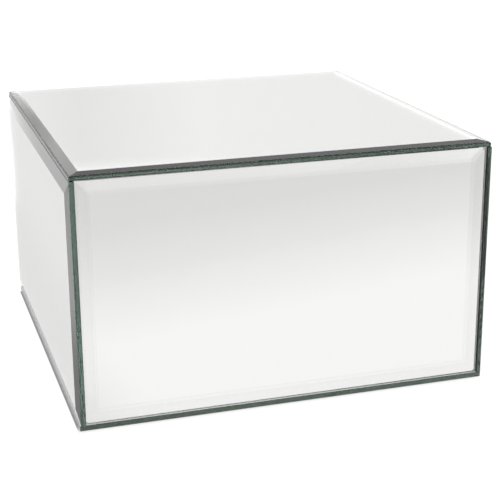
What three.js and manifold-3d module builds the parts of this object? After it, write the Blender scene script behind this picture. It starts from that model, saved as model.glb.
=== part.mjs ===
// Mirrored display block: bevelled mirror panes taped to a fibreboard box, standing on four bumper feet.
// Millimetres, +Z up, front towards -Y, origin at the middle of the footprint on the floor.
import * as THREE from "three";
import { mergeVertices } from "three/addons/utils/BufferGeometryUtils.js";
import Module from "manifold-3d";

const wasm = await Module();
wasm.setup();

// ---- driving dimensions
const WIDTH = 300; // outside width over the left and right panes
const DEPTH = 300; // outside depth over the front and back panes
const HEIGHT = 180; // floor to display surface
const SIDE_GLASS = 5; // thickness of the four upright panes
const TOP_GLASS = 4; // thickness of the top pane
const BASE_GLASS = 4; // thickness of the plain base pane
const BASE_INSET = 1.4; // its left and right edges in from the outside faces
const BASE_SETBACK = 2.1; // its front and back edges in from the outside faces
const SIDE_BEVEL = 9.5; // width of the ground bevel round an upright pane
const TOP_BEVEL = 7.4; // width of the ground bevel round the top pane
const SIDE_EDGE = 2.9; // cut edge left under the bevel of an upright pane
const TOP_EDGE = 2.7; // cut edge left under the bevel of the top pane
const GLASS_GAP = 0.3; // between one pane and the next
const COAT = 0.3; // silver and paint on the back of a pane
const TAPE = 1.1; // foam tape between pane and board
const TAPE_WIDTH = 25;
const GLUE = 0.1; // glue line between two touching pieces
const BOARD = 12; // fibreboard thickness
const BLOCK = 22; // side of a square glue block
const FOOT_HEIGHT = 1.6;
const FOOT_RADIUS = 6;
const FOOT_INSET = 25; // foot centre in from the outside faces
const SCREW_RADIUS = 2;
const SCREW_HEAD_RADIUS = 4;
const SCREW_HEAD = 2.6; // height of the countersunk head
const SCREW_LENGTH = 32;
const SCREW_CLEAR = 0.3; // round a screw in its hole
const ROUND = 20; // sides of a round piece

// ---- what follows from them
const base_under = FOOT_HEIGHT; // underside of the base pane
const base_over = base_under + BASE_GLASS;
const pane_low = base_over + GLASS_GAP; // lower edge of the upright panes
const pane_high = HEIGHT - TOP_GLASS - GLASS_GAP; // upper edge of the upright panes
const pane_height = pane_high - pane_low;
const front_width = WIDTH - 2 * (SIDE_GLASS + GLASS_GAP); // the front pane stands between the side panes
const top_width = WIDTH - 2 * (SIDE_GLASS - SIDE_EDGE); // the top pane ends flush with the upright cut edges
const top_depth = DEPTH - 2 * (SIDE_GLASS - SIDE_EDGE);
const base_x = WIDTH / 2 - BASE_INSET; // half width of the base pane
const base_y = DEPTH / 2 - BASE_SETBACK; // half depth
const skin = COAT + TAPE + GLUE; // from the back of a pane to the face of its board
const box_x = WIDTH / 2 - SIDE_GLASS - skin; // half width of the fibreboard box
const box_y = DEPTH / 2 - SIDE_GLASS - skin; // half depth
const box_low = base_over + skin;
const box_high = HEIGHT - TOP_GLASS - skin;
const wall_low = box_low + BOARD + GLUE; // underside of the four upright boards
const wall_high = box_high - BOARD - GLUE;
const wall_height = wall_high - wall_low;
const wall_middle = (wall_low + wall_high) / 2;
const block_x = box_x - BOARD - GLUE - BLOCK / 2; // centre of a glue block
const block_y = box_y - BOARD - GLUE - BLOCK / 2;

// ---- materials
const finish = (color, roughness, metalness) => new THREE.MeshStandardMaterial({ color, roughness, metalness });
const mirror = finish(0xdde4e2, 0.03, 1);
const fibreboard = finish(0xb08d62, 0.85, 0);
const softwood = finish(0xd8b98a, 0.8, 0);
const steel = finish(0xa9abad, 0.35, 1);
const foam = finish(0xe9e9e4, 0.9, 0);
const bumper = finish(0xcfd3d2, 0.4, 0);

const group = new THREE.Group();

function add(name, geometry, material) {
  const mesh = new THREE.Mesh(geometry, material);
  mesh.name = name;
  group.add(mesh);
}

// A box from its lowest corner to its highest corner.
function boxBetween(x0, y0, z0, x1, y1, z1) {
  const box = new THREE.BoxGeometry(x1 - x0, y1 - y0, z1 - z0);
  return box.translate((x0 + x1) / 2, (y0 + y1) / 2, (z0 + z1) / 2);
}

// A pane lying in the XY plane: plain back at z = 0, bevelled face at z = thickness.
function bevelledPane(width, height, thickness, bevel, edge) {
  const rings = [
    [width / 2, height / 2, 0],
    [width / 2, height / 2, edge],
    [width / 2 - bevel, height / 2 - bevel, thickness],
  ];
  const points = [];
  for (const [x, y, z] of rings) points.push(-x, -y, z, x, -y, z, x, y, z, -x, y, z);
  const faces = [0, 2, 1, 0, 3, 2, 8, 9, 10, 8, 10, 11];
  for (let ring = 0; ring < 2; ring++) {
    for (let side = 0; side < 4; side++) {
      const a = ring * 4 + side;
      const b = ring * 4 + ((side + 1) % 4);
      faces.push(a, b, b + 4, a, b + 4, a + 4);
    }
  }
  const pane = new THREE.BufferGeometry();
  pane.setAttribute("position", new THREE.Float32BufferAttribute(points, 3));
  pane.setIndex(faces);
  pane.computeVertexNormals();
  return pane;
}

// A body of revolution about +Z from [radius, z] pairs, listed from the lowest to the highest.
function turned(profile) {
  const points = profile.map(([r, z]) => new THREE.Vector2(r, z));
  return new THREE.LatheGeometry(points, ROUND).rotateX(Math.PI / 2);
}

function toSolid(geometry) {
  const bare = new THREE.BufferGeometry();
  const open = geometry.index ? geometry.toNonIndexed() : geometry;
  bare.setAttribute("position", open.getAttribute("position"));
  const merged = mergeVertices(bare, 1e-4);
  const mesh = new wasm.Mesh({
    numProp: 3,
    vertProperties: merged.attributes.position.array,
    triVerts: new Uint32Array(merged.index.array),
  });
  return new wasm.Manifold(mesh);
}

function toGeometry(solid) {
  const mesh = solid.getMesh();
  const geometry = new THREE.BufferGeometry();
  geometry.setAttribute("position", new THREE.Float32BufferAttribute(mesh.vertProperties, 3));
  geometry.setIndex(Array.from(mesh.triVerts));
  geometry.computeVertexNormals();
  return geometry;
}

function cut(geometry, tools) {
  let solid = toSolid(geometry);
  for (const tool of tools) solid = solid.subtract(toSolid(tool));
  return toGeometry(solid);
}

// ---- mirror panes
const uprights = [
  ["front_pane", front_width, 0, -DEPTH / 2 + SIDE_GLASS, 0],
  ["right_pane", DEPTH, WIDTH / 2 - SIDE_GLASS, 0, Math.PI / 2],
  ["back_pane", front_width, 0, DEPTH / 2 - SIDE_GLASS, Math.PI],
  ["left_pane", DEPTH, -WIDTH / 2 + SIDE_GLASS, 0, -Math.PI / 2],
];
for (const [name, width, x, y, turn] of uprights) {
  const pane = bevelledPane(width, pane_height, SIDE_GLASS, SIDE_BEVEL, SIDE_EDGE);
  pane.rotateX(Math.PI / 2).rotateZ(turn).translate(x, y, (pane_low + pane_high) / 2);
  add(name, pane, mirror);
}
const top_pane = bevelledPane(top_width, top_depth, TOP_GLASS, TOP_BEVEL, TOP_EDGE);
add("top_pane", top_pane.translate(0, 0, HEIGHT - TOP_GLASS), mirror);
add("base_pane", boxBetween(-base_x, -base_y, base_under, base_x, base_y, base_over), mirror);

// ---- screws: each is turned about +Z with its head upmost at z = 0, then laid along its hole
const screwProfile = (grow) => [
  [0, -SCREW_LENGTH - grow],
  [SCREW_RADIUS * 0.3 + grow, -SCREW_LENGTH - grow],
  [SCREW_RADIUS + grow, -SCREW_LENGTH + 5 - grow],
  [SCREW_RADIUS + grow, -SCREW_HEAD - grow],
  [SCREW_HEAD_RADIUS + grow, -0.4 - grow],
  [SCREW_HEAD_RADIUS + grow, grow],
  [0, grow],
];
function screwBody() {
  const slot = SCREW_RADIUS * 0.35;
  const reach = SCREW_RADIUS * 1.1;
  const cross = [boxBetween(-reach, -slot, -1.6, reach, slot, 1), boxBetween(-slot, -reach, -1.6, slot, reach, 1)];
  return cut(turned(screwProfile(0)), cross);
}
const screwHole = () => turned([...screwProfile(SCREW_CLEAR).slice(0, -2),
  [SCREW_HEAD_RADIUS + SCREW_CLEAR, 2], [0, 2]]);
const sunk = 0.5; // head below the face of the board

const screws = { side: [], top: [], base: [] };
for (const side of [-1, 1]) {
  for (const end of [-1, 1]) {
    for (const level of [-1, 1]) {
      const z = wall_middle + level * wall_height * 0.3;
      const lay = (g) => g.rotateY(side * Math.PI / 2).translate(side * (box_x - sunk), end * (box_y - BOARD / 2), z);
      screws.side.push({ side, end, lay });
    }
    const stand = (g) => g.translate(side * block_x, end * block_y, box_high - sunk);
    const hang = (g) => g.rotateX(Math.PI).translate(side * block_x, end * block_y, box_low + sunk);
    screws.top.push({ side, end, lay: stand });
    screws.base.push({ side, end, lay: hang });
  }
}
for (const [kind, list] of Object.entries(screws)) {
  list.forEach((screw, i) => add(`${kind}_screw_${i + 1}`, screw.lay(screwBody()), steel));
}
const holes = (list, wanted) => list.filter(wanted).map((screw) => screw.lay(screwHole()));
const all = () => true;

// ---- fibreboard box: top and base boards over the full plan, side boards full depth, front and back between
const top_board = boxBetween(-box_x, -box_y, box_high - BOARD, box_x, box_y, box_high);
add("top_board", cut(top_board, holes(screws.top, all)), fibreboard);
const base_board = boxBetween(-box_x, -box_y, box_low, box_x, box_y, box_low + BOARD);
add("base_board", cut(base_board, holes(screws.base, all)), fibreboard);
for (const [name, side] of [["left_board", -1], ["right_board", 1]]) {
  const inner = side * (box_x - BOARD);
  const outer = side * box_x;
  const board = boxBetween(Math.min(inner, outer), -box_y, wall_low, Math.max(inner, outer), box_y, wall_high);
  add(name, cut(board, holes(screws.side, (s) => s.side === side)), fibreboard);
}
for (const [name, end] of [["front_board", -1], ["back_board", 1]]) {
  const inner = end * (box_y - BOARD);
  const outer = end * box_y;
  const reach = box_x - BOARD - GLUE;
  const board = boxBetween(-reach, Math.min(inner, outer), wall_low, reach, Math.max(inner, outer), wall_high);
  add(name, cut(board, holes(screws.side, (s) => s.end === end)), fibreboard);
}
let count = 0;
for (const side of [-1, 1]) {
  for (const end of [-1, 1]) {
    const [x, y, half] = [side * block_x, end * block_y, BLOCK / 2];
    const block = boxBetween(x - half, y - half, wall_low, x + half, y + half, wall_high);
    const drilled = [...screws.top, ...screws.base].filter((s) => s.side === side && s.end === end);
    count += 1;
    add(`corner_block_${count}`, cut(block, holes(drilled, all)), softwood);
  }
}

// ---- foam tape: upright strips behind the side panes, strips along Y under the top and over the base pane
const strip = TAPE_WIDTH / 2;
const tape_low = wall_low + 4;
const tape_high = wall_high - 4;
const face_x = WIDTH / 2 - SIDE_GLASS - COAT; // outer face of the tape behind the left and right panes
const face_y = DEPTH / 2 - SIDE_GLASS - COAT;
const rows = [-0.62, 0.62]; // strip places as a share of the half width
rows.forEach((share, i) => {
  const y = share * box_y;
  const x = share * (front_width / 2);
  for (const [name, side] of [["left", -1], ["right", 1]]) {
    const near = Math.min(side * face_x, side * (face_x - TAPE));
    add(`${name}_tape_${i + 1}`, boxBetween(near, y - strip, tape_low, near + TAPE, y + strip, tape_high), foam);
  }
  for (const [name, end] of [["front", -1], ["back", 1]]) {
    const near = Math.min(end * face_y, end * (face_y - TAPE));
    add(`${name}_tape_${i + 1}`, boxBetween(x - strip, near, tape_low, x + strip, near + TAPE, tape_high), foam);
  }
});
[-0.55, 0, 0.55].forEach((share, i) => {
  const x = share * box_x;
  const long = box_y - 8;
  const over = HEIGHT - TOP_GLASS - COAT;
  const under = base_over + COAT;
  add(`top_tape_${i + 1}`, boxBetween(x - strip, -long, over - TAPE, x + strip, long, over), foam);
  add(`base_tape_${i + 1}`, boxBetween(x - strip, -long, under, x + strip, long, under + TAPE), foam);
});

// ---- feet: low bumpers stuck under the base pane
let foot_count = 0;
for (const side of [-1, 1]) {
  for (const end of [-1, 1]) {
    const top = FOOT_HEIGHT - GLUE;
    const foot = turned([
      [0, 0],
      [FOOT_RADIUS * 0.72, 0],
      [FOOT_RADIUS * 0.9, top * 0.25],
      [FOOT_RADIUS, top * 0.7],
      [FOOT_RADIUS, top],
      [0, top],
    ]);
    foot_count += 1;
    foot.translate(side * (WIDTH / 2 - FOOT_INSET), end * (DEPTH / 2 - FOOT_INSET), 0);
    add(`foot_${foot_count}`, foot, bumper);
  }
}

export default group;
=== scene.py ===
# %% [markdown]
# # A mirrored display block
# Shops and galleries stand small things on a low square block clad in mirror. Every face is a pane of float
# glass, silvered on the back, with a ground bevel round its rim. Under the glass is a plain fibreboard box.
# The hard joins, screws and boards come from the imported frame. This lesson adds what the eye sees: thick
# green glass that bends light, a silver film behind it, dark backing paint, and a studio worth reflecting.

# %% Load the frame
import bpy, bmesh, math
from mathutils import Matrix, Vector


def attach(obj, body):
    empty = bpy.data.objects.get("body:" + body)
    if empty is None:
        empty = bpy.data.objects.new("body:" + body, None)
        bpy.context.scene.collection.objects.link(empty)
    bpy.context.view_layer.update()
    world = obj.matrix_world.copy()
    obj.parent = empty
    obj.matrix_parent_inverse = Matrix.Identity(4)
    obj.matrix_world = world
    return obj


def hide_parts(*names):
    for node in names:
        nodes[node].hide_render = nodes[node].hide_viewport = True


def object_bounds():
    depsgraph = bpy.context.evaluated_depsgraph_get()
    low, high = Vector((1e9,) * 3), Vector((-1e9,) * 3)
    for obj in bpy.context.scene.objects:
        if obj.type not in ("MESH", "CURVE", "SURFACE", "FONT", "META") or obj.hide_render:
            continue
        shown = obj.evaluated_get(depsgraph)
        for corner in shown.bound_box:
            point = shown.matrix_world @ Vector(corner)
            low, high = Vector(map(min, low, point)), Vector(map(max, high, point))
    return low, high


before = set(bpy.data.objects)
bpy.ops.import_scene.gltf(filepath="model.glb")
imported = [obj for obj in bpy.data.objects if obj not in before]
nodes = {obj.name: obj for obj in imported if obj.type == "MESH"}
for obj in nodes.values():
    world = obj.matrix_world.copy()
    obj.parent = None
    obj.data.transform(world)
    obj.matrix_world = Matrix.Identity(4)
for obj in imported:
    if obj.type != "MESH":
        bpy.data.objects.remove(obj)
cad_low, cad_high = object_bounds()
scene = bpy.context.scene
MM = 0.001
print("frame:", len(nodes), "nodes,", [round(v / MM) for v in cad_high - cad_low], "mm")

# %% [markdown]
# ## The camera
# The block is seen from the front left and from above, about a metre away, through a long lens. A camera
# set by its direction, its place and a small roll is easier to correct than one set by Euler angles, so its
# three axes are built first and its matrix is put together from them.

# %% Camera
AZIMUTH, ELEVATION, ROLL = math.radians(-17.166), math.radians(18.046), math.radians(-0.398)
CAMERA_PLACE = Vector((-0.26907, -0.92763, 0.38378))
FOCAL_LENGTH = 92.03  # on a 36 mm sensor

ahead = Vector((-math.sin(AZIMUTH) * math.cos(ELEVATION), math.cos(AZIMUTH) * math.cos(ELEVATION),
                -math.sin(ELEVATION)))
level = Vector((math.cos(AZIMUTH), math.sin(AZIMUTH), 0))
upward = level.cross(ahead)
across = level * math.cos(ROLL) + upward * math.sin(ROLL)
upward = upward * math.cos(ROLL) - level * math.sin(ROLL)

camera = bpy.data.objects.new("camera", bpy.data.cameras.new("camera"))
camera.data.sensor_width, camera.data.lens = 36, FOCAL_LENGTH
camera.data.clip_start, camera.data.clip_end = 0.01, 50
axes = Matrix((across, upward, -ahead)).transposed().to_4x4()
camera.matrix_world = Matrix.Translation(CAMERA_PLACE) @ axes
scene.collection.objects.link(camera)
scene.camera = camera
print("camera", round((CAMERA_PLACE - (cad_low + cad_high) / 2).length, 3), "m from the middle of the block")

# %% [markdown]
# ## Short ways to build a material
# Each finish here is a small node tree. Short helpers keep them readable: one makes a material with its
# main shader, one adds a node and sets its sockets, one joins two sockets. A fourth does a sum on two
# numbers.

# %% Node helpers
def new_material(name):
    material = bpy.data.materials.new(name)
    material.use_nodes = True
    return material, material.node_tree, material.node_tree.nodes["Principled BSDF"]


def node(tree, kind, **sockets):
    made = tree.nodes.new("ShaderNode" + kind)
    for key, value in sockets.items():
        if hasattr(made, key):
            setattr(made, key, value)
        else:
            made.inputs[key.replace("_", " ")].default_value = value
    return made


def wire(tree, source, target):
    tree.links.new(source, target)


def joined(tree, operation, first, second):
    made = node(tree, "Math", operation=operation)
    for socket, value in zip(made.inputs, (first, second)):
        if isinstance(value, (int, float)):
            socket.default_value = value
        else:
            wire(tree, value, socket)
    return made.outputs[0]


def grain_of(tree, scale, detail, stretch=(1, 1, 1)):
    """Noise on the place of a point in metres, so that its grain has a real size on every piece."""
    coordinates = node(tree, "Mapping")
    coordinates.inputs["Scale"].default_value = stretch
    wire(tree, node(tree, "TexCoord").outputs["Object"], coordinates.inputs["Vector"])
    noise = node(tree, "TexNoise", Scale=scale, Detail=detail)
    wire(tree, coordinates.outputs[0], noise.inputs["Vector"])
    return noise.outputs["Fac"]


def colour_between(tree, shader, grain, dark, light, spread=(0.0, 1.0)):
    """The shader's colour runs from dark to light while the grain crosses the spread."""
    colours = node(tree, "ValToRGB")
    for mark, place, colour in zip(colours.color_ramp.elements, spread, (dark, light)):
        mark.position = place
        mark.color = (*colour, 1)
    wire(tree, grain, colours.inputs["Fac"])
    wire(tree, colours.outputs[0], shader.inputs["Base Color"])


# %% [markdown]
# ## Float glass
# Clear float glass is not quite clear. Seen through its face it is neutral, but along its length the iron
# in it swallows red and a little blue, so a cut edge looks dark green. Absorption inside the volume gives
# both at once, where a green surface colour would tint the face as well.
#
# A pane has three finishes: the fire-polished faces, the felt-polished bevel, a shade duller, and the
# ground arrises. All of them bound one volume, so they must be one material. Each face of the mesh carries
# its own haze and brightness, and the material reads those two. The wheel leaves a ground arris speckled: a
# fine grain makes its haze and brightness uneven, and leaves the polished faces alone, because 0 times or 1
# to any power stays.

# %% Glass
GLASS_INDEX = 1.52
GLASS_TINT = (0.54, 0.65, 0.60, 1)  # what the iron lets through
GLASS_DENSITY = 17
SPECKLE_SCALE = 600

# Haze and brightness of each finish
POLISHED = (0.0, 1.0)
BEVELLED = (0.0, 0.92)
GROUND = (0.25, 0.42)
SAWN = (0.08, 0.8)  # the plain edge of the base pane

float_glass, tree, shader = new_material("float_glass")
shader.inputs["Transmission Weight"].default_value = 1
shader.inputs["IOR"].default_value = GLASS_INDEX
speckle = joined(tree, "ADD", grain_of(tree, SPECKLE_SCALE, 3), 0.5)
haze = node(tree, "Attribute", attribute_name="haze").outputs["Fac"]
wire(tree, joined(tree, "MULTIPLY", haze, speckle), shader.inputs["Roughness"])
brightness = node(tree, "Attribute", attribute_name="brightness").outputs["Fac"]
wire(tree, joined(tree, "POWER", brightness, speckle), shader.inputs["Base Color"])
inside = node(tree, "VolumeAbsorption", Color=GLASS_TINT, Density=GLASS_DENSITY)
wire(tree, inside.outputs[0], tree.nodes["Material Output"].inputs["Volume"])

# %% [markdown]
# ## Silver and backing paint
# The mirror is a film of silver on the back of the glass, sealed with dark paint. Silver is a metal shader
# with almost no roughness. A faint broad noise clouds its tint and its blur a little, as the wet silvering
# does, and a finer noise mottles the paint.

# %% Silver and paint
SILVER_BLUR = 0.012  # roughness where the cloud is densest

silver, tree, shader = new_material("silver_film")
shader.inputs["Metallic"].default_value = 1
cloud = grain_of(tree, 30, 2)
colour_between(tree, shader, cloud, (0.962, 0.944, 0.943), (0.978, 0.958, 0.957))
wire(tree, joined(tree, "MULTIPLY", cloud, SILVER_BLUR), shader.inputs["Roughness"])

backing, tree, shader = new_material("backing_paint")
colour_between(tree, shader, grain_of(tree, 900, 3), (0.012, 0.013, 0.013), (0.03, 0.032, 0.032))
shader.inputs["Roughness"].default_value = 0.55

# %% [markdown]
# ## Inside: board, wood, steel, foam and rubber
# Nothing under the glass shows once the block is closed, but the part comes apart on a bench, so each inner
# piece gets its own finish. Their shapes come from the frame and stay as they are. Fibreboard is pressed
# wood flour: nearly even, with fine darker fibres. The glue blocks are softwood, sawn along the height, so
# their grain runs up. Screws are zinc plated, tape is closed-cell foam, feet are clear grey rubber.

# %% A mottled finish
EVEN = (1, 1, 1)  # grain of the same size in every direction
RELIEF = 0.2 * MM


def mottled(name, dark, light, scale, stretch, roughness, bump, detail=4, metallic=0):
    """A material whose colour, roughness and small relief all follow one stretched noise."""
    material, tree, shader = new_material(name)
    grain = grain_of(tree, scale, detail, stretch)
    colour_between(tree, shader, grain, dark, light, (0.3, 0.7))
    haze = node(tree, "MapRange")
    haze.inputs["To Min"].default_value, haze.inputs["To Max"].default_value = roughness
    wire(tree, grain, haze.inputs["Value"])
    wire(tree, haze.outputs["Result"], shader.inputs["Roughness"])
    relief = node(tree, "Bump", Strength=bump, Distance=RELIEF)
    wire(tree, grain, relief.inputs["Height"])
    wire(tree, relief.outputs[0], shader.inputs["Normal"])
    shader.inputs["Metallic"].default_value = metallic
    return material


# %% Inner finishes
fibreboard = mottled("fibreboard", (0.30, 0.19, 0.10), (0.46, 0.31, 0.17), 700, (1, 1, 0.4), (0.75, 0.9), 0.2,
                     detail=8)
softwood = mottled("softwood", (0.52, 0.34, 0.17), (0.74, 0.54, 0.31), 260, (1, 1, 0.05), (0.6, 0.8), 0.3)
zinc_steel = mottled("zinc_steel", (0.50, 0.51, 0.53), (0.68, 0.69, 0.70), 1500, EVEN, (0.2, 0.4), 0.05,
                     detail=2, metallic=1)
foam_tape = mottled("foam_tape", (0.66, 0.66, 0.62), (0.82, 0.82, 0.79), 2200, EVEN, (0.85, 0.95), 0.5)
bumper_rubber = mottled("bumper_rubber", (0.34, 0.36, 0.36), (0.46, 0.48, 0.48), 400, EVEN, (0.3, 0.5), 0.1,
                        detail=2)

inner_finishes = {"_board": fibreboard, "corner_block": softwood, "_screw_": zinc_steel, "_tape_": foam_tape,
                  "foot_": bumper_rubber}
finished = 0
for name, piece in nodes.items():
    for mark, material in inner_finishes.items():
        if mark in name:
            piece.data.materials.clear()
            piece.data.materials.append(material)
            finished += 1
print(finished, "inner pieces finished")

# %% [markdown]
# ## One bevelled pane
# A pane is described by a profile across its rim: a hair-fine ground arris at the back corner, the cut
# edge, another arris, the bevel, and the flat face. Walking that profile round the rectangle as nested
# rings gives the mitred corners for nothing. The sizes of the arrises were set by trial, so that each edge
# shows its lines.

# %% Nested rings
BACK_ARRIS = 0.12 * MM
CORNERS = ((-1, -1), (1, -1), (1, 1), (-1, 1))
ARRIS = {  # taken off the face and off the cut edge
    "top": (0.85 * MM, 0.85 * MM), "left": (0.85 * MM, 0.35 * MM), "right": (0.85 * MM, 0.35 * MM),
    "front": (0.4 * MM, 0.35 * MM), "back": (0.4 * MM, 0.35 * MM), "base": (0.3 * MM, 0.3 * MM),
}
FILM_BELOW = 0.2 * MM  # the coat behind the glass
FILM_SUNK = 0.02 * MM  # how far the silver reaches into the glass, so that no air is left between them
BASE_FILM_INSET = 0.7 * MM  # the film on the base stops short of its rim, which stays clear


def nested_rings(name, half_x, half_y, profile, materials):
    """A closed solid of nested rectangles from (inset, height, finish of the band that starts here) rows.
    The last face takes the first material, and all other faces take the last one."""
    mesh = bmesh.new()
    haze = mesh.faces.layers.float.new("haze")
    brightness = mesh.faces.layers.float.new("brightness")
    rings = []
    for inset, height, _ in profile:
        x, y = half_x - inset, half_y - inset
        rings.append([mesh.verts.new((sx * x, sy * y, height)) for sx, sy in CORNERS])
    made = [(mesh.faces.new(rings[0][::-1]), POLISHED)]
    for low, high, row in zip(rings, rings[1:], profile):
        for i in range(4):
            j = (i + 1) % 4
            made.append((mesh.faces.new((low[i], low[j], high[j], high[i])), row[2]))
    made.append((mesh.faces.new(rings[-1]), profile[-1][2]))
    for face, finish in made:
        face[haze], face[brightness] = finish
        face.material_index = 0 if face is made[-1][0] else len(materials) - 1
    data = bpy.data.meshes.new(name)
    mesh.to_mesh(data)
    mesh.free()
    for material in materials:
        data.materials.append(material)
    piece = bpy.data.objects.new(name, data)
    scene.collection.objects.link(piece)
    return piece


# %% Sizes of a packed pane
SAME_HEIGHT = 0.01 * MM


def pane_facts(name, outward):
    """Centre of the back face, half sizes, thickness, cut edge and bevel of a packed pane."""
    turn = outward.to_track_quat("Z", "Y").to_matrix()
    points = [turn.inverted() @ v.co for v in nodes[name].data.vertices]
    heights = sorted({round(p.z, 6) for p in points})
    back, front = heights[0], heights[-1]
    rim = heights[1] if len(heights) > 2 else front
    middle = [(min(p[i] for p in points) + max(p[i] for p in points)) / 2 for i in (0, 1)]
    half = [max(p[i] for p in points) - middle[i] for i in (0, 1)]
    flat = max(p.x for p in points if abs(p.z - front) < SAME_HEIGHT)
    bevel = half[0] - (flat - middle[0])
    return turn, Vector((middle[0], middle[1], back)), half, front - back, rim - back, bevel


# %% Build the six panes
def build_pane(name, outward):
    turn, place, half, thick, edge, bevel = pane_facts(name, outward)
    slope = (thick - edge) / bevel if bevel > 0 else 0
    off_face, off_edge = ARRIS[name.replace("_pane", "")]
    edge_finish = POLISHED if bevel > 0 else SAWN
    profile = [(BACK_ARRIS, 0, GROUND), (0, BACK_ARRIS, edge_finish), (0, edge - off_edge, GROUND)]
    if bevel > 0:
        profile += [(off_face, edge + slope * off_face, BEVELLED), (bevel, thick, POLISHED)]
    else:
        profile += [(off_face, thick, POLISHED)]
    glass = nested_rings(name.replace("_pane", "_glass"), *half, profile, [float_glass])
    film_inset = BASE_FILM_INSET if outward.z < 0 else BACK_ARRIS
    film = [(film_inset, -FILM_BELOW, POLISHED), (film_inset, FILM_SUNK, POLISHED)]
    coat = nested_rings(name.replace("_pane", "_silver"), *half, film, [silver, backing])
    for piece in (glass, coat):
        piece.data.transform(turn.to_4x4() @ Matrix.Translation(place))
        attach(piece, "root")
    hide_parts(name)
    print(f"{name}: glass {thick / MM:.1f} mm, cut edge {edge / MM:.1f} mm, bevel {bevel / MM:.1f} mm")


for name, outward in {"top_pane": (0, 0, 1), "base_pane": (0, 0, -1), "front_pane": (0, -1, 0),
                      "back_pane": (0, 1, 0), "left_pane": (-1, 0, 0), "right_pane": (1, 0, 0)}.items():
    build_pane(name, Vector(outward))

# %% [markdown]
# ## The floor, with light painted into its glow
# A mirror shows nothing of its own, so the room round it is its paint. Small mirrored goods are often set
# on a lit white sweep, which takes the shadow away and fills the lower half of every upright pane. Here that
# sweep is a glowing disc with its light painted into the glow: brightest round the block and falling away
# from it. To the left a brighter patch is painted into the glow, as if a lit panel stood there, which puts
# the pale line into the steep left bevel. All its numbers were set by trial, one region at a time.
#
# The floor is made twice. One disc is what the camera sees, an even pale white glow with a painted shade
# under the block. The other, a hair lower, is what the panes reflect, and it carries the painted light and
# shade.

# %% A disc that marks the floor
FLOOR_RADIUS = 6


def disc(name, height, material):
    mesh = bmesh.new()
    bmesh.ops.create_circle(mesh, cap_ends=True, segments=96, radius=FLOOR_RADIUS)
    bmesh.ops.translate(mesh, verts=mesh.verts, vec=(0, 0, height))
    data = bpy.data.meshes.new(name)
    mesh.to_mesh(data)
    mesh.free()
    data.materials.append(material)
    made = bpy.data.objects.new(name, data)
    scene.collection.objects.link(made)
    return made


def matt_white(name, albedo):
    material, tree, shader = new_material(name)
    shader.inputs["Base Color"].default_value = (albedo, albedo, albedo, 1)
    shader.inputs["Roughness"].default_value = 1
    shader.inputs["Specular IOR Level"].default_value = 0
    # Both floors glow; each caller sets the glow's strength, and where it varies by place that is painted
    # light and shade.
    shader.inputs["Emission Color"].default_value = (1, 1, 1, 1)
    return material, tree, shader


# %% [markdown]
# ## Light and shade as arithmetic
# Nodes can do sums on the place of a point. Two more helpers are enough here: one turns a number into a
# curve of brightness through a ramp, one turns it into a soft step.

# %% Helpers for sums
RAMP_TOP = 2  # a ramp holds 0 to 1, so brightness is stored as a share of this


def ramp(tree, source, stops):
    """Plain numbers up to RAMP_TOP from (place, value) rows."""
    made = node(tree, "ValToRGB")
    marks = made.color_ramp.elements
    while len(marks) < len(stops):
        marks.new(0.5)
    for mark, (place, value) in zip(marks, stops):
        mark.position, mark.color = place, (*[value / RAMP_TOP] * 3, 1)
    wire(tree, source, made.inputs["Fac"])
    return joined(tree, "MULTIPLY", made.outputs[0], RAMP_TOP)


def soft_step(tree, source, start, end):
    made = node(tree, "MapRange", interpolation_type="SMOOTHSTEP")
    made.inputs["From Min"].default_value, made.inputs["From Max"].default_value = start, end
    wire(tree, source, made.inputs["Value"])
    return made.outputs["Result"]


# %% [markdown]
# ## The floor in view
# An even pale white glow with a painted shade: the glow is turned down under the block, where the low gap
# would let little of the room in. From the side that painted shade is the dark line at the foot of the block.
# At the front edge the painted shade only fades in gently, so the front edge gets less of it.

# %% Floor in view
SHADE_EDGE = 1 * MM  # how soft the rim of the shade is
SHADE_DEPTH = 0.8
FRONT_FADE = 15 * MM  # the shade comes in gently from the front edge
OWN_WHITE, OWN_LIGHT = 0.15, 0.95  # how much room light it returns, and how much it gives itself

shown, tree, shader = matt_white("pale_floor", OWN_WHITE)
where = node(tree, "SeparateXYZ")
wire(tree, node(tree, "TexCoord").outputs["Object"], where.inputs[0])
x, y = where.outputs["X"], where.outputs["Y"]
# Painted shade: the floor's own glow is lowered over the block's footprint, softly at its sides and gently
# from the front.
shade = soft_step(tree, x, cad_low.x, cad_low.x + SHADE_EDGE)
shade = joined(tree, "MULTIPLY", shade, soft_step(tree, x, cad_high.x, cad_high.x - SHADE_EDGE))
shade = joined(tree, "MULTIPLY", shade, soft_step(tree, y, cad_high.y, cad_high.y - SHADE_EDGE))
shade = joined(tree, "MULTIPLY", shade, soft_step(tree, y, cad_low.y, cad_low.y + FRONT_FADE))
light = joined(tree, "SUBTRACT", 1, joined(tree, "MULTIPLY", shade, SHADE_DEPTH))
wire(tree, joined(tree, "MULTIPLY", light, OWN_LIGHT), shader.inputs["Emission Strength"])
floor = disc("floor", 0, shown)
floor.visible_glossy = floor.visible_transmission = False
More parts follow.
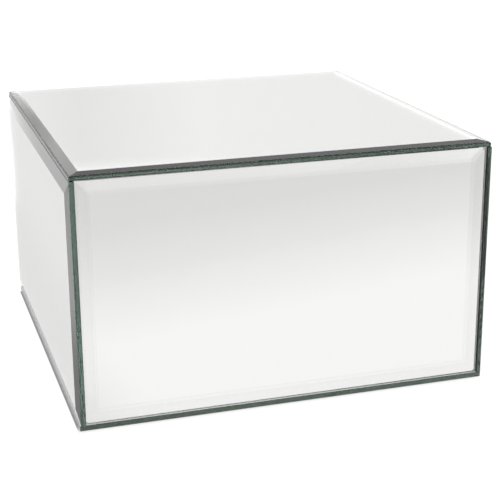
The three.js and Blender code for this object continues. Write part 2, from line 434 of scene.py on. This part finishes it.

# %% [markdown]
# ## The floor in the mirror
# Its glow is painted light: its brightness follows how far a point lies out from the block. In front the
# painted bright part reaches further to the right, which gives the front pane its slanting shade. On the left
# the painted sweep is nearly even, with a painted shade close to the block, up to the painted panel of light.
# Each pair below is where a soft step starts and where it ends, in metres to the right or to the back.

# %% Mirrored floor
# The falloff, slant, left and panel values below are painted light and shade in the mirrored floor's glow.
FALL = ((0.0, 1.0), (0.34, 1.0), (0.40, 0.945), (0.46, 0.895), (0.50, 0.85), (0.58, 0.805), (0.64, 0.77),
        (0.74, 0.757))
SLANT = 0.25  # how much further the light reaches for each metre to the right
# Close to the block on the left the glow is lower: a painted shade.
LEFT_NEAR_PAINTED_SHADE, LEFT_EVEN = 0.815, 0.865  # close to the block on the left, and further out
MIRROR_DROP = 0.1 * MM  # a hair under the floor in view
FRONT_START = 0.025  # distance to the front counts from this far behind the middle
BACK_REACH = 0.9  # distance behind and to the right counts a little less
MIRROR_WHITE, MIRROR_DIMMED = 0.1, 0.08  # room light it returns, and what is taken off its own light for that
LEFT_SIDE, LEFT_FRONT = (-0.08, -0.17), (-0.35, -0.15)
LEFT_RISE = (-0.16, -0.21)
# The panel is a brighter patch painted into the floor's glow; no panel stands there.
PAINTED_PANEL_NEAR, PAINTED_PANEL_FAR = 0.55, 0.32  # the panel's extra light beside the block, and its light further back
PAINTED_PANEL_TURN = 0.4  # how far the panel's near edge turns outwards for each metre back
PAINTED_PANEL_NEAR_EDGE, PAINTED_PANEL_FAR_EDGE = (-0.225, -0.27), (-0.29, -0.34)
PAINTED_PANEL_FRONT, PAINTED_PANEL_BACK = (-0.25, -0.12), (0.8, 0.5)

mirrored, tree, shader = matt_white("floor_in_the_mirror", MIRROR_WHITE)
where = node(tree, "SeparateXYZ")
wire(tree, node(tree, "TexCoord").outputs["Object"], where.inputs[0])
x, y = where.outputs["X"], where.outputs["Y"]
forward = joined(tree, "SUBTRACT", FRONT_START, y)
to_front = joined(tree, "SUBTRACT", forward, joined(tree, "MULTIPLY", x, SLANT))
to_back_or_right = joined(tree, "MULTIPLY", joined(tree, "MAXIMUM", x, y), BACK_REACH)
# Painted pool of light: the glow falls away with distance from the block.
painted_sweep = ramp(tree, joined(tree, "MAXIMUM", to_front, to_back_or_right), FALL)

# On the left the glow is set anew, with a painted shade close to the block.
on_the_left = joined(tree, "MULTIPLY", soft_step(tree, x, *LEFT_SIDE), soft_step(tree, y, *LEFT_FRONT))
kept = joined(tree, "MULTIPLY", painted_sweep, joined(tree, "SUBTRACT", 1, on_the_left))
further = joined(tree, "MULTIPLY", soft_step(tree, x, *LEFT_RISE), LEFT_EVEN - LEFT_NEAR_PAINTED_SHADE)
painted_left_light = joined(tree, "ADD", further, LEFT_NEAR_PAINTED_SHADE)
painted_light = joined(tree, "ADD", kept, joined(tree, "MULTIPLY", on_the_left, painted_left_light))

# The painted panel of light: a brighter patch of glow to the left, turning outwards further back.
turned_out = joined(tree, "ADD", x, joined(tree, "MULTIPLY", y, PAINTED_PANEL_TURN))
near_edge = soft_step(tree, turned_out, *PAINTED_PANEL_NEAR_EDGE)
painted_panel = joined(tree, "MAXIMUM", near_edge, soft_step(tree, x, *PAINTED_PANEL_FAR_EDGE))
painted_panel = joined(tree, "MULTIPLY", painted_panel, soft_step(tree, y, *PAINTED_PANEL_FRONT))
strength = joined(tree, "MULTIPLY", soft_step(tree, y, *PAINTED_PANEL_BACK), PAINTED_PANEL_NEAR)
painted_light = joined(tree, "ADD", painted_light, joined(tree, "MULTIPLY", painted_panel, joined(tree, "ADD", strength, PAINTED_PANEL_FAR)))
wire(tree, joined(tree, "SUBTRACT", painted_light, MIRROR_DIMMED), shader.inputs["Emission Strength"])
reflected = disc("floor_in_the_mirror", -MIRROR_DROP, mirrored)
reflected.visible_camera = False
print("floor", FLOOR_RADIUS, "m in radius")

# %% [markdown]
# ## The white surround
# Above the floor the room is a white tent. It is dimmer near the horizon, where the backdrop falls away
# from the lamps, brighter in a broad band of soft light above it, and a little dimmer again overhead. A
# ramp on the height of each direction draws that: the top pane shows the low part and the bevels show the
# band. A shallow dip just right of the middle, and a slight rise beyond it, keep the top pane from looking
# flat.

# %% Sky
SKY = ((0.0, 0.93), (0.24, 0.93), (0.265, 1.45), (0.38, 1.40), (0.48, 1.05), (0.7, 1.0), (1.0, 0.9))
ACROSS = ((0.0, 1.0), (0.10, 1.0), (0.16, 0.93), (0.25, 1.03), (0.40, 1.0))  # share of it, by how far right
world = bpy.data.worlds.new("studio")
world.use_nodes = True
scene.world = world
tree = world.node_tree
direction = node(tree, "TexCoord")
parts = node(tree, "SeparateXYZ")
wire(tree, direction.outputs["Generated"], parts.inputs[0])
sky = joined(tree, "MULTIPLY", ramp(tree, parts.outputs["Z"], SKY), ramp(tree, parts.outputs["X"], ACROSS))
wire(tree, sky, tree.nodes["Background"].inputs["Strength"])
tree.nodes["Background"].inputs["Color"].default_value = (1, 1, 1, 1)

# %% [markdown]
# ## Enough bounces for glass
# Light that enters a pane at its rim is thrown to and fro between silver and glass many times. With few
# bounces those paths end black, and the edges turn too dark. The plain view keeps the brightness that was
# set above.

# %% View and bounces
BOUNCES = 64
scene.view_settings.view_transform = "Standard"
scene.cycles.max_bounces = BOUNCES
scene.cycles.transmission_bounces = BOUNCES
scene.cycles.glossy_bounces = BOUNCES
print("up to", BOUNCES, "bounces")
